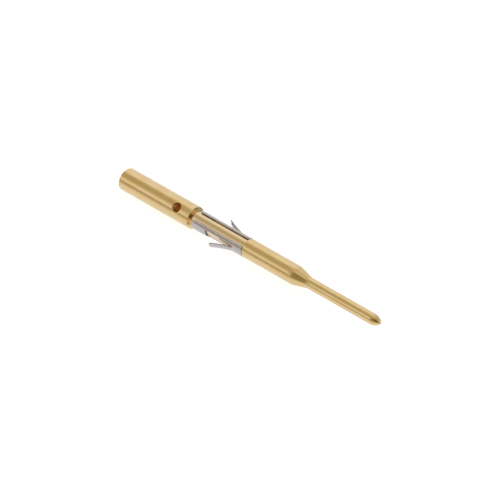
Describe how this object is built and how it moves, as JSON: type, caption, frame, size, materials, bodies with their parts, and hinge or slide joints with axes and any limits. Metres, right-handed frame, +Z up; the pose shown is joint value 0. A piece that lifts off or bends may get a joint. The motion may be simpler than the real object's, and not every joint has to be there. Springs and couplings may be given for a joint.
{
  "type": "crimp contact pin",
  "caption": "Machined pin contact with a blind crimp barrel, an inspection hole, a tapered mating pin and a rolled retention clip with two sprung tangs on its neck.",
  "frame": {"origin": "below the middle of the whole length, at the level of the surface that the crimp barrel lies on", "axes": "+X along the contact's axis towards the mating pin's tip, +Z up, the axis 1.04 mm above the surface; the inspection hole faces 44 degrees from up towards -Y and the clip's slit 20.5 degrees from up towards -Y"},
  "size_m": [0.0296, 0.0029, 0.0021],
  "materials": {
    "gold_plate": "gold plated over a turned copper alloy, satin, fine turning marks round the axis",
    "clip_steel": "bare stainless spring steel strip, rolled, satin"
  },
  "bodies": {
    "root": {"contact_body": "gold_plate", "retention_clip": "clip_steel"}
  },
  "joints": []
}
